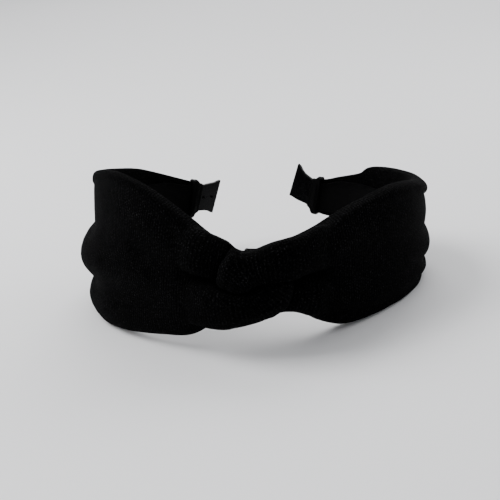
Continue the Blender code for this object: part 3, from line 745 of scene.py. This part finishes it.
def satin_material():
    """Satin ribbon: very fine threads along the band and a soft, directed gloss."""
    n = Nodes("black_satin_weave")
    weave = n.add("ShaderNodeUVMap", uv_map="weave").outputs["UV"]
    split = n.add("ShaderNodeSeparateXYZ")
    n.link(weave, split.inputs[0])
    place_in = n.add("ShaderNodeTexCoord").outputs["Object"]
    wave = MM_PER_UV * 2.0 * math.pi
    thread = n.maths("SINE", n.maths("MULTIPLY", split.outputs["Y"], wave / THREAD_PITCH))
    pick = n.maths("SINE", n.maths("MULTIPLY", split.outputs["X"], wave / PICK_PITCH))
    slub = n.noise(place_in, 420.0)
    height = n.maths("ADD", thread, n.maths("MULTIPLY", pick, 0.35))
    height = n.maths("ADD", height, n.maths("MULTIPLY", slub, 1.4))
    n.link(n.bump(height, 0.00004), n.shader.inputs["Normal"])
    worn = n.noise(place_in, 70.0, 4.0)
    tone = n.ramp(worn, ((0.35, (0.0003, 0.0003, 0.0004)), (0.70, (0.0010, 0.0010, 0.0012))))
    n.link(tone, n.shader.inputs["Base Color"])
    n.link(n.maths("ADD", 0.40, n.maths("MULTIPLY", slub, 0.16)), n.shader.inputs["Roughness"])
    n.put(n.shader, Specular_IOR_Level=0.02, Anisotropic=0.35, Sheen_Weight=0.003, Sheen_Roughness=0.3)
    return n.material


def plastic_material():
    """Moulded black plastic, glossy, with faint flow unevenness and a few fine handling scuffs."""
    n = Nodes("gloss_black_plastic")
    place_in = n.add("ShaderNodeTexCoord").outputs["Object"]
    flow = n.noise(place_in, 70.0, 1.0)
    n.link(n.bump(flow, 0.00004), n.shader.inputs["Normal"])
    scuff = n.noise(place_in, 500.0, 4.0)
    rough = n.ramp(scuff, ((0.50, (0.24, 0.24, 0.24)), (0.72, (0.34, 0.34, 0.34))))
    n.link(rough, n.shader.inputs["Roughness"])
    tone = n.ramp(flow, ((0.3, (0.0010, 0.0010, 0.0013)), (0.7, (0.0022, 0.0022, 0.0027))))
    n.link(tone, n.shader.inputs["Base Color"])
    n.put(n.shader, Specular_IOR_Level=0.09, IOR=1.49)
    return n.material


def foam_material():
    """Open sponge: pores of two sizes, painted shade darkening the colour down in the pores, and uneven
    greys.
    """
    n = Nodes("grey_sponge")
    place_in = n.add("ShaderNodeTexCoord").outputs["Object"]
    pores = n.put(n.add("ShaderNodeTexVoronoi"), Scale=1300.0)
    n.link(place_in, pores.inputs["Vector"])
    small = n.noise(place_in, 2600.0, 3.0)
    height = n.maths("ADD", pores.outputs["Distance"], n.maths("MULTIPLY", small, 0.4))
    n.link(n.bump(height, 0.0003), n.shader.inputs["Normal"])
    # painted shade: the colour follows the bump height, darker down in the pores, plus a random uneven grey
    tone = n.ramp(height, ((0.2, (0.14, 0.14, 0.145)), (0.9, (0.40, 0.40, 0.41))))
    n.link(tone, n.shader.inputs["Base Color"])
    n.put(n.shader, Roughness=0.95, Specular_IOR_Level=0.1)
    return n.material


def floor_material():
    n = Nodes("pale_floor")
    n.put(n.shader, Roughness=0.9, Specular_IOR_Level=0.1)
    n.shader.inputs["Base Color"].default_value = FLOOR_TONE
    return n.material


# ---- the studio -------------------------------------------------------------------------------------------


def make_floor():
    mesh = bpy.data.meshes.new("floor")
    bm = bmesh.new()
    bmesh.ops.create_grid(bm, x_segments=1, y_segments=1, size=FLOOR_HALF_WIDTH)
    bm.to_mesh(mesh)
    bm.free()
    floor = bpy.data.objects.new("floor", mesh)
    bpy.context.scene.collection.objects.link(floor)
    floor.data.materials.append(floor_material())


def make_light(name, where, size, power):
    """A square soft light that points at the middle of the headband."""
    light = bpy.data.lights.new(name, "AREA")
    light.size = size
    light.energy = power
    made = bpy.data.objects.new(name, light)
    made.location = Vector(where)
    made.rotation_euler = (HOOP_CENTRE - made.location).to_track_quat("-Z", "Y").to_euler()
    bpy.context.scene.collection.objects.link(made)


def make_world():
    world = bpy.data.worlds.new("studio")
    world.use_nodes = True
    background = world.node_tree.nodes["Background"]
    background.inputs["Color"].default_value = SKY_TONE
    background.inputs["Strength"].default_value = SKY_STRENGTH
    bpy.context.scene.world = world


def make_camera():
    """The camera keeps its place against the level hoop, so it leans with the headband's stance."""
    camera = bpy.data.cameras.new("camera")
    camera.lens, camera.sensor_width = CAMERA_LENS, SENSOR
    camera.shift_x, camera.shift_y = CAMERA_SHIFT
    camera.clip_start = 0.01
    made = bpy.data.objects.new("camera", camera)
    elevation = math.radians(CAMERA_ELEVATION)
    seat = Vector((0.0, -math.cos(elevation), math.sin(elevation))) * CAMERA_DISTANCE
    facing = (-seat).to_track_quat("-Z", "Y").to_matrix().to_4x4()
    made.matrix_world = STANCE @ Matrix.Translation(seat) @ facing
    bpy.context.scene.collection.objects.link(made)
    bpy.context.scene.camera = made


# ---- the whole scene --------------------------------------------------------------------------------------

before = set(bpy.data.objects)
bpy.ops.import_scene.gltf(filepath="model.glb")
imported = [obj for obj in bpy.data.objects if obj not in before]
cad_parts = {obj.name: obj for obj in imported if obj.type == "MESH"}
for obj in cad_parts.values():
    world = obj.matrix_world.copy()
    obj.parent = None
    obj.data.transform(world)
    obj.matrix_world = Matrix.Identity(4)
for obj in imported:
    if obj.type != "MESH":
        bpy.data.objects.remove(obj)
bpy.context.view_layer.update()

plastic, satin, knit, foam = plastic_material(), satin_material(), knit_material(), foam_material()
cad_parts["hoop_core"].material_slots[0].material = plastic

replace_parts(make_sleeve("left_knit_sleeve", -1, LEFT_EDGES, LEFT_OUT, LEFT_FOLDS, knit), "left_sleeve")
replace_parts(make_sleeve("right_knit_sleeve", 1, RIGHT_EDGES, RIGHT_OUT, RIGHT_FOLDS, knit), "right_sleeve")
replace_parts(make_pad("left_sponge_pad", -1, LEFT_EDGES, foam), "left_pad")
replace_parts(make_pad("right_sponge_pad", 1, RIGHT_EDGES, foam), "right_pad")
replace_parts(make_ribbon(satin), "lining_ribbon")
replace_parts(make_wrap("left_tape_wrap", -1, satin), "left_end_wrap")
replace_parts(make_wrap("right_tape_wrap", 1, satin), "right_end_wrap")
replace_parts(make_strap(knit), "knot_binding")

make_floor()
make_world()
for name, where, size, power in LIGHTS:
    make_light(name, where, size, power)
make_camera()
